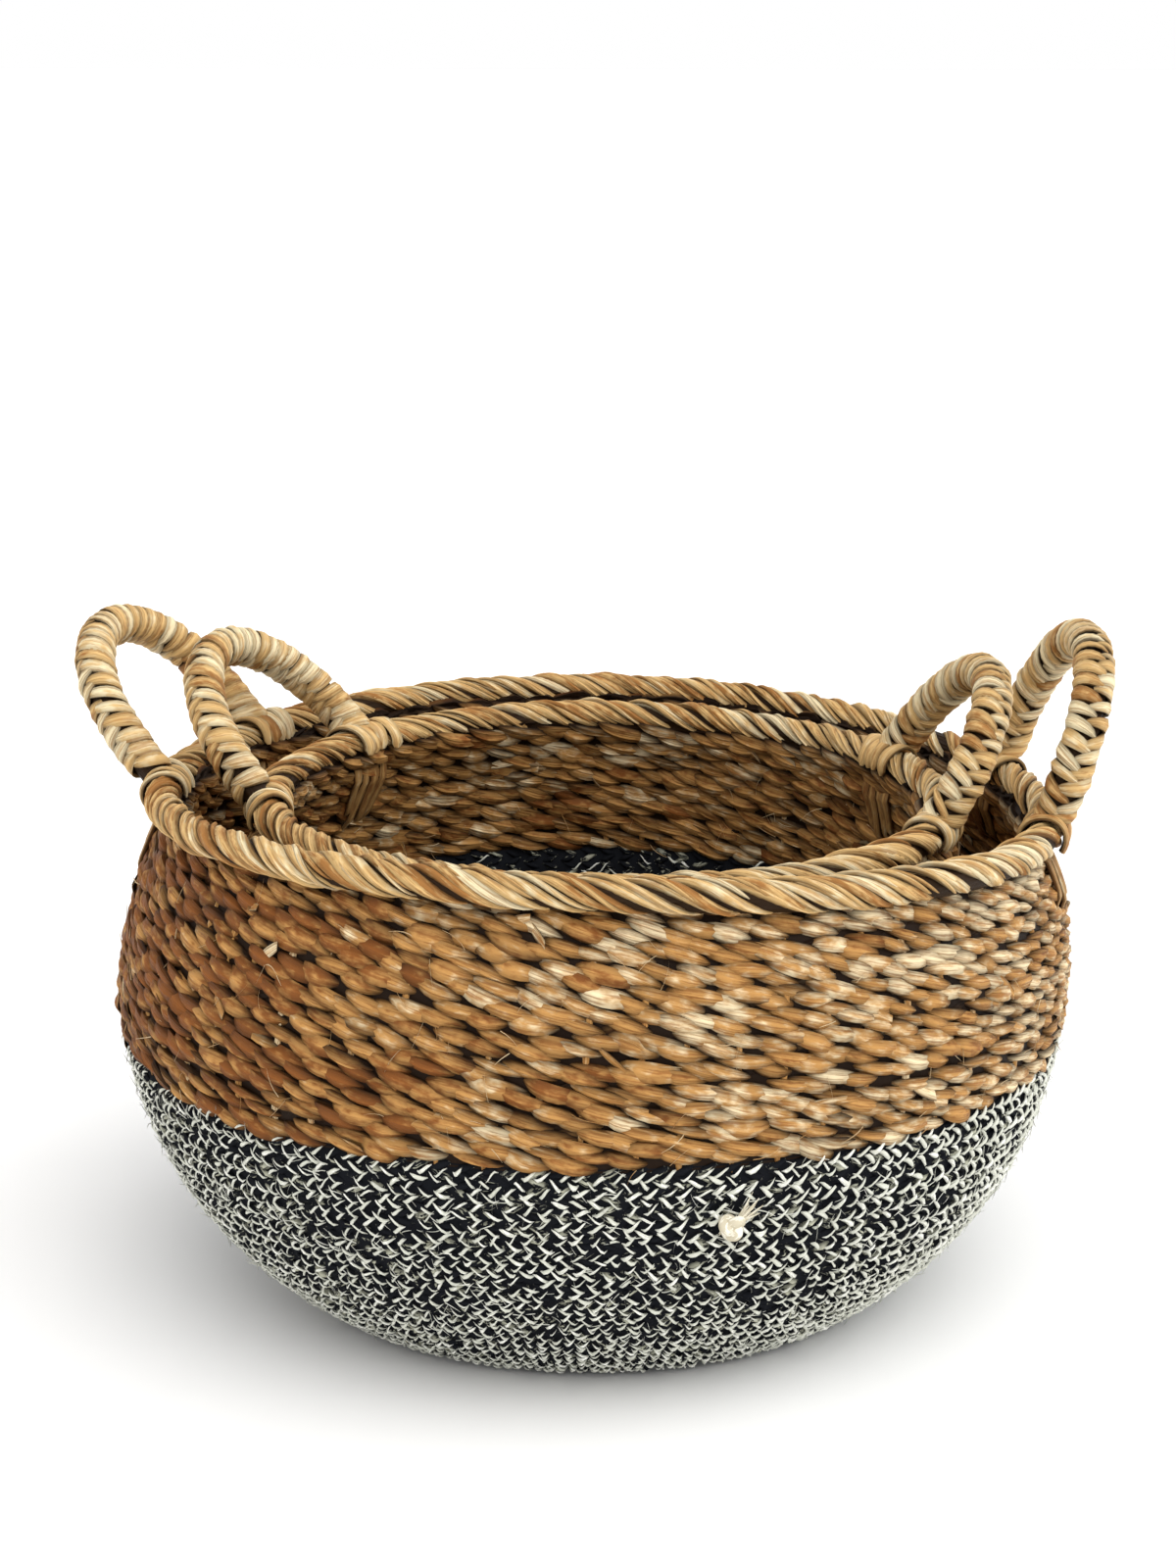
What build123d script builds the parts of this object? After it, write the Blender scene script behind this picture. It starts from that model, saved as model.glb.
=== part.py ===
from build123d import *
import os
from math import asin, cos, degrees, radians, sin, sqrt

# Two round twined storage baskets, the small one standing inside the large one.
# Millimetres, +Z up. The origin is the centre of the large basket's flat base, on the floor.
# The carrying handles stand near the +X and -X ends of each rim, a little towards +Y, the back.

# Wall: an outside weft and an inside weft, with the upright stakes sealed between them.
WEFT = 3.4
STAKE_SPACE = 2.6
STAKE_DIAMETER = 2.4
WALL = 2 * WEFT + STAKE_SPACE
BASE_THICKNESS = 8.0
STAKE_START = BASE_THICKNESS + 1.0  # height of a stake's lower end above its basket's underside
NEST_GAP = 0.3          # air between the large basket's floor and the small basket's underside

# Rim rope, and the C-shaped lashings that turn on it with a handle.
ROPE_RADIUS = 8.0
LASHING_BORE = 9.0
LASHING_RADIUS = 12.0
LASHING_WIDTH = 27.0    # length of rope under one lashing
LASHING_START = -50.0   # ends of the C, in degrees about the rope, 0 outward and 90 up
LASHING_END = 205.0

# Lashing tails: strips that lie down the wall below each lashing.
TAIL_COUNT = 3
TAIL_WIDTH = 7.0
TAIL_PITCH = 9.0
TAIL_THICKNESS = 1.6
TAIL_GAP = 0.1
TAIL_LOW = 34.0         # depth of the strips' lower ends below the rim rope's centre
TAIL_TOP_OUTSIDE = 14.0
TAIL_TOP_INSIDE = 9.0

# Handles: a core bundle inside a wrapped skin, bent as two straight legs and a half circle.
HANDLE_RADIUS = 8.5
CORE_RADIUS = 5.5

# Each wall is one arc in section: its belly, where it is widest, and the arc's radius. Its rim is
# given to the centre of the rim rope, and the wall ends at the rope's underside.
LARGE = {
    "name": "large",
    "underside": 0.0,
    "belly_radius": 200.0,
    "belly_height": 134.0,
    "arc_radius": 157.0,
    "yarn_top": 115.0,
    "rim_radius": 183.0,
    "rim_height": 212.0,
    "stakes": 68,
}
SMALL = {
    "name": "small",
    "underside": BASE_THICKNESS + NEST_GAP,
    "belly_radius": 160.0,
    "belly_height": 130.0,
    "arc_radius": 150.0,
    "yarn_top": 144.0,
    "rim_radius": 140.0,
    "rim_height": 206.0,
    "stakes": 54,
}

# Handles: where the middle stands round the rim, half the angle between its feet, its height
# above the rim rope's centre measured along the loop, and its outward lean, all angles in degrees.
HANDLES = [
    {"basket": LARGE, "name": "large_left", "middle": 170.0, "half": 16.5, "height": 73.0, "lean": 39.0},
    {"basket": LARGE, "name": "large_right", "middle": 10.0, "half": 16.5, "height": 73.0, "lean": 20.0},
    {"basket": SMALL, "name": "small_left", "middle": 170.0, "half": 24.0, "height": 68.0, "lean": 40.0},
    {"basket": SMALL, "name": "small_right", "middle": 10.0, "half": 24.0, "height": 60.0, "lean": 32.0},
]

# The cloth tie knotted into the large basket's yarn, at the front and a little to the right.
KNOT_RADIUS = 6.0
KNOT_ANGLE = -68.7
KNOT_HEIGHT = 91.0
KNOT_SINK = 2.0         # how far its ball reaches into the weave, where it is cut to the wall


def centre_radius(basket):
    """Distance from the Z axis to the centre of the wall's arc."""
    return basket["belly_radius"] - basket["arc_radius"]


def wall_point(basket, depth, height):
    """A point (radius, height) on the wall, depth in from its outer surface."""
    rise = height - basket["belly_height"]
    arc = basket["arc_radius"] - depth
    return (centre_radius(basket) + sqrt(arc**2 - rise**2), height)


def wall_top(basket):
    """The height of the wall's upper end, under the rim rope."""
    return basket["rim_height"] - ROPE_RADIUS


def wall_arc(basket, depth, low, high):
    """The wall's arc at that depth, from low to high. It is drawn in a BuildLine."""
    heights = (low, (low + high) / 2, high)
    return ThreePointArc(*[wall_point(basket, depth, z) for z in heights])


def meridian(angle):
    """The upright plane through the Z axis at that angle, with its x outward and its y up."""
    a = radians(angle)
    return Plane(origin=(0, 0, 0), x_dir=(cos(a), sin(a), 0), z_dir=(sin(a), -cos(a), 0))


def wall_band(basket, depth_out, depth_in, low, high, start=0.0, sweep_angle=360.0):
    """A band of the wall between two depths and two heights, turned about the Z axis."""
    with BuildPart() as band:
        with BuildSketch(meridian(start)):
            with BuildLine():
                outside = wall_arc(basket, depth_out, low, high)
                inside = wall_arc(basket, depth_in, low, high)
                Line(outside @ 0, inside @ 0)
                Line(outside @ 1, inside @ 1)
            make_face()
        revolve(axis=Axis.Z, revolution_arc=sweep_angle)
    return band.part


def base_disc(basket):
    """The flat woven base. It fills the outside weft's foot, and the rest of the wall stands on it."""
    low = basket["underside"]
    high = low + BASE_THICKNESS
    with BuildPart() as base:
        with BuildSketch(Plane.XZ):
            with BuildLine():
                edge = wall_arc(basket, WEFT, low, high)
                Line((0, low), edge @ 0)
                Line((0, low), (0, high))
                Line((0, high), edge @ 1)
            make_face()
        revolve(axis=Axis.Z)
    return base.part


def stake_group(basket):
    """All the upright stakes: thin rods on the wall's own arc, halfway through the wall."""
    arc = basket["arc_radius"] - WALL / 2
    centre = (centre_radius(basket), 0, basket["belly_height"])
    low = asin((basket["underside"] + STAKE_START - basket["belly_height"]) / arc)
    high = asin((wall_top(basket) - basket["belly_height"]) / arc)
    section = Plane(origin=centre, x_dir=(cos(low), 0, sin(low)), z_dir=(-sin(low), 0, cos(low)))
    with BuildPart() as stake:
        with BuildSketch(section):
            with Locations((arc, 0)):
                Circle(STAKE_DIAMETER / 2)
        revolve(axis=Axis(centre, (0, -1, 0)), revolution_arc=degrees(high - low))
    with BuildPart() as group:
        with PolarLocations(0, basket["stakes"]):
            add(stake.part)
    return group.part


def rim_ring(basket, radius):
    """A ring of round section whose centre line is the rim rope's."""
    with BuildPart() as ring:
        with Locations((0, 0, basket["rim_height"])):
            Torus(basket["rim_radius"], radius)
    return ring.part


def handle_plane(handle):
    """The plane of a handle's loop: x along the chord between its feet, y up the loop."""
    middle = radians(handle["middle"])
    lean = radians(handle["lean"])
    reach = handle["basket"]["rim_radius"] * cos(radians(handle["half"]))
    outward = Vector(cos(middle), sin(middle), 0)
    chord = Vector(-sin(middle), cos(middle), 0)
    rise = outward * sin(lean) + Vector(0, 0, cos(lean))
    middle_of_chord = outward * reach + Vector(0, 0, handle["basket"]["rim_height"])
    return Plane(origin=middle_of_chord, x_dir=chord, z_dir=chord.cross(rise))


def handle_tube(handle, outer, inner):
    """A tube along a handle's loop, its two ends cut to sit on the outside of the lashings."""
    half = handle["basket"]["rim_radius"] * sin(radians(handle["half"]))
    leg = handle["height"] - half
    with BuildPart() as tube:
        with BuildLine(handle_plane(handle)) as path:
            Line((-half, 0), (-half, leg))
            ThreePointArc((-half, leg), (0, leg + half), (half, leg))
            Line((half, leg), (half, 0))
        with BuildSketch(Plane(origin=path.line @ 0, z_dir=path.line % 0)):
            Circle(outer)
            if inner > 0:
                Circle(inner, mode=Mode.SUBTRACT)
        sweep()
        with Locations((0, 0, handle["basket"]["rim_height"])):
            Torus(handle["basket"]["rim_radius"], LASHING_RADIUS, mode=Mode.SUBTRACT)
    return tube.part


def lashing(basket, foot):
    """The C-shaped binding that holds a handle's foot at that angle on the rim rope."""
    rim = (basket["rim_radius"], basket["rim_height"])
    span = degrees(LASHING_WIDTH / basket["rim_radius"])
    reach = 3 * LASHING_RADIUS
    ends = [(reach * cos(radians(a)), reach * sin(radians(a))) for a in (LASHING_END, LASHING_START)]
    with BuildPart() as binding:
        with BuildSketch(meridian(foot - span / 2)):
            with Locations(rim):
                Circle(LASHING_RADIUS)
                Circle(LASHING_BORE, mode=Mode.SUBTRACT)
                Polygon((0, 0), *ends, align=None, mode=Mode.SUBTRACT)
        revolve(axis=Axis.Z, revolution_arc=span)
    return binding.part


def lashing_tails(handle):
    """The strips that run down the outside and the inside of the wall below a handle's feet."""
    basket = handle["basket"]
    outside = (-TAIL_GAP - TAIL_THICKNESS, -TAIL_GAP, TAIL_TOP_OUTSIDE)
    inside = (WALL + TAIL_GAP, WALL + TAIL_GAP + TAIL_THICKNESS, TAIL_TOP_INSIDE)
    span = degrees(TAIL_WIDTH / basket["rim_radius"])
    pitch = degrees(TAIL_PITCH / basket["rim_radius"])
    with BuildPart() as tails:
        for foot in feet(handle):
            for i in range(TAIL_COUNT):
                start = foot + (i - (TAIL_COUNT - 1) / 2) * pitch - span / 2
                for depth_out, depth_in, top in (outside, inside):
                    low, high = basket["rim_height"] - TAIL_LOW, basket["rim_height"] - top
                    add(wall_band(basket, depth_out, depth_in, low, high, start, span))
    return tails.part


def feet(handle):
    """The angles of a handle's two feet round the rim, the front foot first."""
    towards_back = 1 if handle["middle"] < 90 else -1
    return [handle["middle"] + side * towards_back * handle["half"] for side in (-1, 1)]


def cloth_knot():
    """The tie's knot: a small ball with its back cut to the wall that it is tied into."""
    surface_radius, height = wall_point(LARGE, KNOT_SINK - KNOT_RADIUS, KNOT_HEIGHT)
    angle = radians(KNOT_ANGLE)
    with BuildPart() as knot:
        with Locations((surface_radius * cos(angle), surface_radius * sin(angle), height)):
            Sphere(KNOT_RADIUS)
        add(wall_band(LARGE, 0, WALL, LARGE["underside"], LARGE["yarn_top"]), mode=Mode.SUBTRACT)
    return knot.part


def save(part, name):
    part.label = name
    export_step(part, f"parts/{name}.step")


os.makedirs("parts", exist_ok=True)

for basket in (LARGE, SMALL):
    size = basket["name"]
    low = basket["underside"]
    base_top = low + BASE_THICKNESS
    join = basket["yarn_top"]
    save(base_disc(basket), f"{size}_woven_base")
    save(wall_band(basket, 0, WEFT, low, join), f"{size}_yarn_weft_outside")
    save(wall_band(basket, WALL - WEFT, WALL, base_top, join), f"{size}_yarn_weft_inside")
    save(wall_band(basket, 0, WEFT, join, wall_top(basket)), f"{size}_seagrass_weft_outside")
    save(wall_band(basket, WALL - WEFT, WALL, join, wall_top(basket)), f"{size}_seagrass_weft_inside")
    save(stake_group(basket), f"{size}_stakes")
    save(rim_ring(basket, ROPE_RADIUS), f"{size}_rim_rope")

for handle in HANDLES:
    front_foot, back_foot = feet(handle)
    name = handle["name"]
    save(handle_tube(handle, HANDLE_RADIUS, CORE_RADIUS), f"{name}_handle_wrap")
    save(handle_tube(handle, CORE_RADIUS, 0), f"{name}_handle_core")
    save(lashing(handle["basket"], front_foot), f"{name}_front_lashing")
    save(lashing(handle["basket"], back_foot), f"{name}_back_lashing")
    save(lashing_tails(handle), f"{name}_lashing_tails")

save(cloth_knot(), "cloth_tie_knot")
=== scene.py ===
"""Two round twined storage baskets, the small one nested in the large one, in metres."""

from math import asin, cos, pi, radians, sin, tau
from types import SimpleNamespace

import bpy
import numpy as np
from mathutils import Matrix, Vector


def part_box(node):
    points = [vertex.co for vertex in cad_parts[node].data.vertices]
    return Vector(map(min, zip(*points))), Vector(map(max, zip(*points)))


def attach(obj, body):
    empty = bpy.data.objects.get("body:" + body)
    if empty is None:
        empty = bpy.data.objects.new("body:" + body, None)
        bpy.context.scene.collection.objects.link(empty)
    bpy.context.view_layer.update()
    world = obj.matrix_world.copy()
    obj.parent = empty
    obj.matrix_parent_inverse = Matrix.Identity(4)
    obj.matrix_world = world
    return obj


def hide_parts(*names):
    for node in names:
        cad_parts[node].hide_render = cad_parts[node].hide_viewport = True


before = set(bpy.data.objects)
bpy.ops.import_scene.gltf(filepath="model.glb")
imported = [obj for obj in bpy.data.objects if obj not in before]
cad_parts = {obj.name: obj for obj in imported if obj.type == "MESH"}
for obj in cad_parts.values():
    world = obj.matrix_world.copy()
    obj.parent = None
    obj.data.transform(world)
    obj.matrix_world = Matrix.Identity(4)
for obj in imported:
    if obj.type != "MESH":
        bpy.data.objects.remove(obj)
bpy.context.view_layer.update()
for obj in bpy.context.selected_objects:
    obj.select_set(False)


# --- Floor, lights and camera ---------------------------------------------------------------
# The baskets stand on a plain pale card, as for a product picture. A large soft light comes from
# the upper right and weaker ones from both sides, under a white sky that is brightest low down.
CAMERA_AZIMUTH = radians(6.0)
CAMERA_ELEVATION = radians(18.7)
CAMERA_DISTANCE = 1.3
LOOK_AT = Vector((0.0, 0.0, 0.1))

bpy.ops.mesh.primitive_plane_add(size=60.0, location=(0, 0, 0))
floor = bpy.context.object
floor.name = "floor"
card = bpy.data.materials.new("pale_card")
card.use_nodes = True
card_shader = card.node_tree.nodes["Principled BSDF"]
card_shader.inputs["Base Color"].default_value = (0.98, 0.98, 0.98, 1)
card_shader.inputs["Roughness"].default_value = 0.9
card_shader.inputs["Specular IOR Level"].default_value = 0.1
floor.data.materials.append(card)

camera_data = bpy.data.cameras.new("camera")
camera_data.lens = 69.5
camera_data.sensor_width = 36.0
camera_data.shift_x = -0.0025
camera_data.shift_y = 0.163
camera = bpy.data.objects.new("camera", camera_data)
towards_camera = Vector((
    cos(CAMERA_ELEVATION) * sin(CAMERA_AZIMUTH),
    -cos(CAMERA_ELEVATION) * cos(CAMERA_AZIMUTH),
    sin(CAMERA_ELEVATION),
))
camera.location = LOOK_AT + towards_camera * CAMERA_DISTANCE
camera.rotation_euler = towards_camera.to_track_quat("Z", "Y").to_euler()
bpy.context.scene.collection.objects.link(camera)
bpy.context.scene.camera = camera

LIGHTS = {
    "key_light": {"from": (0.55, -0.75, 1.25), "strength": 1.75, "spread": 60.0, "colour": (1, 0.985, 0.96)},
    "side_light": {"from": (1.2, 0.5, 0.45), "strength": 0.75, "spread": 50.0, "colour": (0.93, 0.98, 1)},
    "left_light": {"from": (-1.0, -0.6, 0.5), "strength": 0.25, "spread": 60.0, "colour": (1, 0.95, 0.88)},
}
for name, lamp in LIGHTS.items():
    light_data = bpy.data.lights.new(name, "SUN")
    light_data.energy = lamp["strength"]
    light_data.angle = radians(lamp["spread"])
    light_data.color = lamp["colour"]
    light = bpy.data.objects.new(name, light_data)
    light.rotation_euler = Vector(lamp["from"]).to_track_quat("Z", "Y").to_euler()
    bpy.context.scene.collection.objects.link(light)

world = bpy.data.worlds.new("studio")
world.use_nodes = True
sky = world.node_tree.nodes["Background"]
sky.inputs["Color"].default_value = (1, 1, 1, 1)
direction = world.node_tree.nodes.new("ShaderNodeTexCoord")
upright = world.node_tree.nodes.new("ShaderNodeSeparateXYZ")
strength = world.node_tree.nodes.new("ShaderNodeMapRange")
strength.inputs["From Min"].default_value = 0.05
strength.inputs["From Max"].default_value = 0.30
strength.inputs["To Min"].default_value = 1.0
strength.inputs["To Max"].default_value = 0.80
world.node_tree.links.new(direction.outputs["Generated"], upright.inputs[0])
world.node_tree.links.new(upright.outputs[2], strength.inputs["Value"])
world.node_tree.links.new(strength.outputs[0], sky.inputs["Strength"])
bpy.context.scene.world = world
bpy.context.scene.view_settings.view_transform = "Standard"


# --- The form that both baskets are woven over ------------------------------------------------
# A basket is twined by hand over upright stakes, and its wall is one round belly in section.
# Each is a little out of true: its rim leans, dips at the handles, and sits off the belly's centre.
WALL = 0.0094
BELLY_HEIGHT = {"large": 0.134, "small": 0.130}
ARC_RADIUS = {"large": 0.157, "small": 0.150}
RIM_SHIFT = 0.0057
RIM_RISE = {
    "large": {"all": -0.0014, "right": -0.0048, "ends": -0.0044, "back": -0.0020},
    "small": {"all": 0.0008, "right": -0.0015, "ends": -0.0008, "back": 0.0025},
}


def basket_form(size):
    """A basket's sizes, read from its CAD nodes. Its wall's arc is at the middle of the wall."""
    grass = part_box(f"{size}_seagrass_weft_outside")
    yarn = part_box(f"{size}_yarn_weft_outside")
    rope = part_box(f"{size}_rim_rope")
    rope_radius = (rope[1].z - rope[0].z) / 2
    belly_radius = max(grass[1].x, yarn[1].x)
    return SimpleNamespace(
        size=size,
        body=f"{size}_basket",
        underside=yarn[0].z,
        join=grass[0].z,
        top=grass[1].z,
        centre=belly_radius - ARC_RADIUS[size],
        belly=BELLY_HEIGHT[size],
        arc=ARC_RADIUS[size] - WALL / 2,
        rim_radius=rope[1].x - rope_radius,
        rim_height=(rope[0].z + rope[1].z) / 2,
    )


def arc_angle(form, height):
    """The wall's arc angle at that height, 0 at the belly."""
    return asin((height - form.belly) / form.arc)


def wall_ground(form, rise, around):
    """Points on the middle of the wall, and the directions out of it and up it, for arrays."""
    outward = np.stack((np.cos(rise) * np.cos(around), np.cos(rise) * np.sin(around), np.sin(rise)), 1)
    upward = np.stack((-np.sin(rise) * np.cos(around), -np.sin(rise) * np.sin(around), np.cos(rise)), 1)
    foot = np.stack((form.centre * np.cos(around), form.centre * np.sin(around), form.belly + 0 * around), 1)
    return foot + form.arc * outward, outward, upward


def slump(form, points):
    """Moves points as the basket's rim has moved: wholly at the rim, and not at all below the join."""
    weight = np.clip((points[:, 2] - form.join) / (form.rim_height - form.join), 0, 1)
    weight = weight * weight * (3 - 2 * weight)
    around = np.arctan2(points[:, 1], points[:, 0])
    rise = RIM_RISE[form.size]
    moved = points.copy()
    moved[:, 0] += RIM_SHIFT * weight
    moved[:, 2] += weight * (rise["all"] + rise["right"] * np.cos(around) + rise["back"] * np.sin(around))
    moved[:, 2] += weight * rise["ends"] * np.cos(2 * around)
    return moved


class Strands:
    """Gathers tubes of fibre into one mesh, with what its material reads: how far along and round its strand
    a point is, its tone from dark 0 to pale 1 (partly painted light on walls and rope), and its painted shade
    for lying in a crevice."""

    def __init__(self):
        self.points, self.quads, self.along = [], [], []
        self.tone, self.crevice, self.count = [], [], 0

    def add(self, rings, length, tone, crevice, closed):
        """Adds one tube. Its rings are an array of (rings, sides, 3)."""
        count, sides = rings.shape[:2]
        spin = np.cross(rings[:, 1] - rings[:, 0], rings[:, 2] - rings[:, 1])
        travel = np.roll(rings[:, 0], -1, 0) - rings[:, 0]
        if not closed:
            travel[-1] = travel[-2]
        turns_forward = np.sum(spin * travel) > 0
        i = np.arange(count if closed else count - 1)
        after = (i + 1) % count
        j = np.arange(sides)
        beside = (j + 1) % sides
        a = i[:, None] * sides + j
        b = i[:, None] * sides + beside
        c = after[:, None] * sides + beside
        d = after[:, None] * sides + j
        order = (a, b, c, d) if turns_forward else (a, d, c, b)
        self.quads.append(np.stack(order, -1).reshape(-1, 4) + self.count)
        ends = np.append(length, 2 * length[-1] - length[-2])
        low, high = np.broadcast_arrays(ends[i][:, None], ends[i + 1][:, None])
        left = np.broadcast_to(j / sides, (len(i), sides))
        right = left + 1 / sides
        low = np.broadcast_to(low, left.shape)
        high = np.broadcast_to(high, left.shape)
        corners = {"a": (low, left), "b": (low, right), "c": (high, right), "d": (high, left)}
        names = "abcd" if turns_forward else "adcb"
        self.along.append(np.stack([np.stack(corners[n], -1) for n in names], 2).reshape(-1, 2))
        if not closed:
            self.close_end(0, sides, ends[0], not turns_forward)
            self.close_end(count - 1, sides, ends[count - 1], turns_forward)
        self.points.append(rings.reshape(-1, 3))
        for gathered, values in ((self.tone, tone), (self.crevice, crevice)):
            values = values if values.ndim == 2 else values[:, None]
            gathered.append(np.broadcast_to(values, (count, sides)).reshape(-1))
        self.count += count * sides

    def close_end(self, ring, sides, length, forward):
        """Closes a tube's end with a fan of quads. The sides are an even number."""
        first = self.count + ring * sides
        fans = [(0, k, k + 1, k + 2) for k in range(1, sides - 2, 2)]
        for fan in fans:
            corners = fan if forward else fan[::-1]
            self.quads.append(np.array([[first + k for k in corners]]))
            self.along.append(np.array([[length, k / sides] for k in corners]))

    def mesh_object(self, name, form, crisp=False):
        """Makes the mesh, slumped with its basket. A crisp one keeps its leaves' folded edges."""
        points = slump(form, np.concatenate(self.points))
        quads = np.concatenate(self.quads)
        mesh = bpy.data.meshes.new(name)
        mesh.vertices.add(len(points))
        mesh.vertices.foreach_set("co", points.astype(np.float32).ravel())
        mesh.loops.add(quads.size)
        mesh.loops.foreach_set("vertex_index", quads.astype(np.int32).ravel())
        mesh.polygons.add(len(quads))
        mesh.polygons.foreach_set("loop_start", np.arange(0, quads.size, 4, dtype=np.int32))
        mesh.update(calc_edges=True)
        strand = mesh.uv_layers.new(name="strand")
        strand.data.foreach_set("uv", np.concatenate(self.along).astype(np.float32).ravel())
        for key, values in (("tone", self.tone), ("crevice", self.crevice)):
            layer = mesh.attributes.new(key, "FLOAT", "POINT")
            layer.data.foreach_set("value", np.concatenate(values).astype(np.float32))
        mesh.polygons.foreach_set("use_smooth", np.ones(len(quads), bool))
        mesh.validate()
        if crisp:
            mesh.set_sharp_from_angle(angle=radians(32))
        made = bpy.data.objects.new(name, mesh)
        bpy.context.scene.collection.objects.link(made)
        return made


def finish_piece(piece, material, body, slot, *nodes):
    """Gives a finished piece its material and its body, and hides the CAD nodes it stands for. Its slot is
    not used.
    """
    piece.data.materials.append(material)
    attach(piece, body)
    if nodes:
        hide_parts(*nodes)


LARGE = basket_form("large")
SMALL = basket_form("small")


# --- Seagrass finish ---------------------------------------------------------------------------
# Dried seagrass: flat ribbed leaves, straw to brown, dull but for a faint shine along the ribs.
# Every grass piece uses this one group, and each has its own colours.
def tree_node(tree, kind, **settings):
    """Adds a node, and sets its properties by name."""
    made = tree.nodes.new(kind)
    for key, value in settings.items():
        setattr(made, key, value)
    return made


def blend_colour(tree, factor, first, second):
    """A colour mix of two sockets or fixed colours."""
    mix = tree_node(tree, "ShaderNodeMix", data_type="RGBA")
    for socket, value in ((mix.inputs[0], factor), (mix.inputs[6], first), (mix.inputs[7], second)):
        if isinstance(value, bpy.types.NodeSocket):
            tree.links.new(value, socket)
        else:
            socket.default_value = value
    return mix.outputs[2]


def calculate(tree, operation, *values):
    """A math node on sockets or numbers."""
    maths = tree_node(tree, "ShaderNodeMath", operation=operation)
    for socket, value in zip(maths.inputs, values):
        if isinstance(value, bpy.types.NodeSocket):
            tree.links.new(value, socket)
        else:
            socket.default_value = value
    return maths.outputs[0]


def remap(tree, value, low, high):
    """A socket's value taken smoothly from 0 at low to 1 at high."""
    ramp = tree_node(tree, "ShaderNodeMapRange", interpolation_type="SMOOTHSTEP")
    tree.links.new(value, ramp.inputs["Value"])
    ramp.inputs["From Min"].default_value = low
    ramp.inputs["From Max"].default_value = high
    return ramp.outputs[0]


def strand_noise(tree, along, across, offset, detail):
    """Noise drawn out along a strand: along and across are its grains to a metre and to a turn."""
    place = tree_node(tree, "ShaderNodeUVMap", uv_map="strand")
    split = tree_node(tree, "ShaderNodeSeparateXYZ")
    tree.links.new(place.outputs[0], split.inputs[0])
    join = tree_node(tree, "ShaderNodeCombineXYZ")
    tree.links.new(calculate(tree, "MULTIPLY", split.outputs[0], along), join.inputs[0])
    tree.links.new(calculate(tree, "MULTIPLY", split.outputs[1], across), join.inputs[1])
    tree.links.new(calculate(tree, "MULTIPLY", offset, 37.0), join.inputs[2])
    noise = tree_node(tree, "ShaderNodeTexNoise")
    noise.inputs["Scale"].default_value = 1.0
    noise.inputs["Detail"].default_value = detail
    tree.links.new(join.outputs[0], noise.inputs["Vector"])
    return noise.outputs[0]


def object_noise(tree, scale, detail):
    """Noise in the object's own space."""
    place = tree_node(tree, "ShaderNodeTexCoord")
    noise = tree_node(tree, "ShaderNodeTexNoise")
    noise.inputs["Scale"].default_value = scale
    noise.inputs["Detail"].default_value = detail
    tree.links.new(place.outputs["Object"], noise.inputs["Vector"])
    return noise.outputs[0]


def attribute(tree, name):
    """The value of a mesh attribute."""
    return tree_node(tree, "ShaderNodeAttribute", attribute_name=name).outputs["Fac"]


grass_group = bpy.data.node_groups.new("grass_leaf", "ShaderNodeTree")
for key in ("ShadeColour", "Brown", "Golden", "Pale"):
    grass_group.interface.new_socket(key, in_out="INPUT", socket_type="NodeSocketColor")
grass_group.interface.new_socket("Paleness", in_out="INPUT", socket_type="NodeSocketFloat")
grass_group.interface.new_socket("Color", in_out="OUTPUT", socket_type="NodeSocketColor")
grass_group.interface.new_socket("Roughness", in_out="OUTPUT", socket_type="NodeSocketFloat")
grass_group.interface.new_socket("Height", in_out="OUTPUT", socket_type="NodeSocketFloat")
given = grass_group.nodes.new("NodeGroupInput")
result = grass_group.nodes.new("NodeGroupOutput")
tone = attribute(grass_group, "tone")
ribs = strand_noise(grass_group, 70.0, 22.0, tone, 3.0)
streaks = strand_noise(grass_group, 160.0, 7.0, tone, 4.0)
patches = object_noise(grass_group, 34.0, 3.0)
shade = calculate(grass_group, "ADD", tone, given.outputs["Paleness"])
shade = calculate(grass_group, "ADD", shade, calculate(grass_group, "MULTIPLY_ADD", streaks, 1.3, -0.65))
shade = calculate(grass_group, "ADD", shade, calculate(grass_group, "MULTIPLY_ADD", patches, 0.8, -0.4))
golden = remap(grass_group, shade, 0.05, 0.45)
leaf = blend_colour(grass_group, golden, given.outputs["Brown"], given.outputs["Golden"])
leaf = blend_colour(grass_group, remap(grass_group, shade, 0.52, 1.0), leaf, given.outputs["Pale"])
rib_lines = calculate(grass_group, "MULTIPLY_ADD", remap(grass_group, ribs, 0.36, 0.52), -0.6, 0.6)
leaf = blend_colour(grass_group, rib_lines, leaf, given.outputs["Brown"])
# Painted shade: the leaf colour is blended to the near-black shade colour by each point's crevice shade
# value.
leaf = blend_colour(grass_group, attribute(grass_group, "crevice"), leaf, given.outputs["ShadeColour"])
grass_group.links.new(leaf, result.inputs["Color"])
grass_group.links.new(calculate(grass_group, "MULTIPLY_ADD", streaks, 0.35, 0.42), result.inputs["Roughness"])
height = calculate(grass_group, "MULTIPLY_ADD", streaks, 0.5, ribs)
grass_group.links.new(height, result.inputs["Height"])


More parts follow.
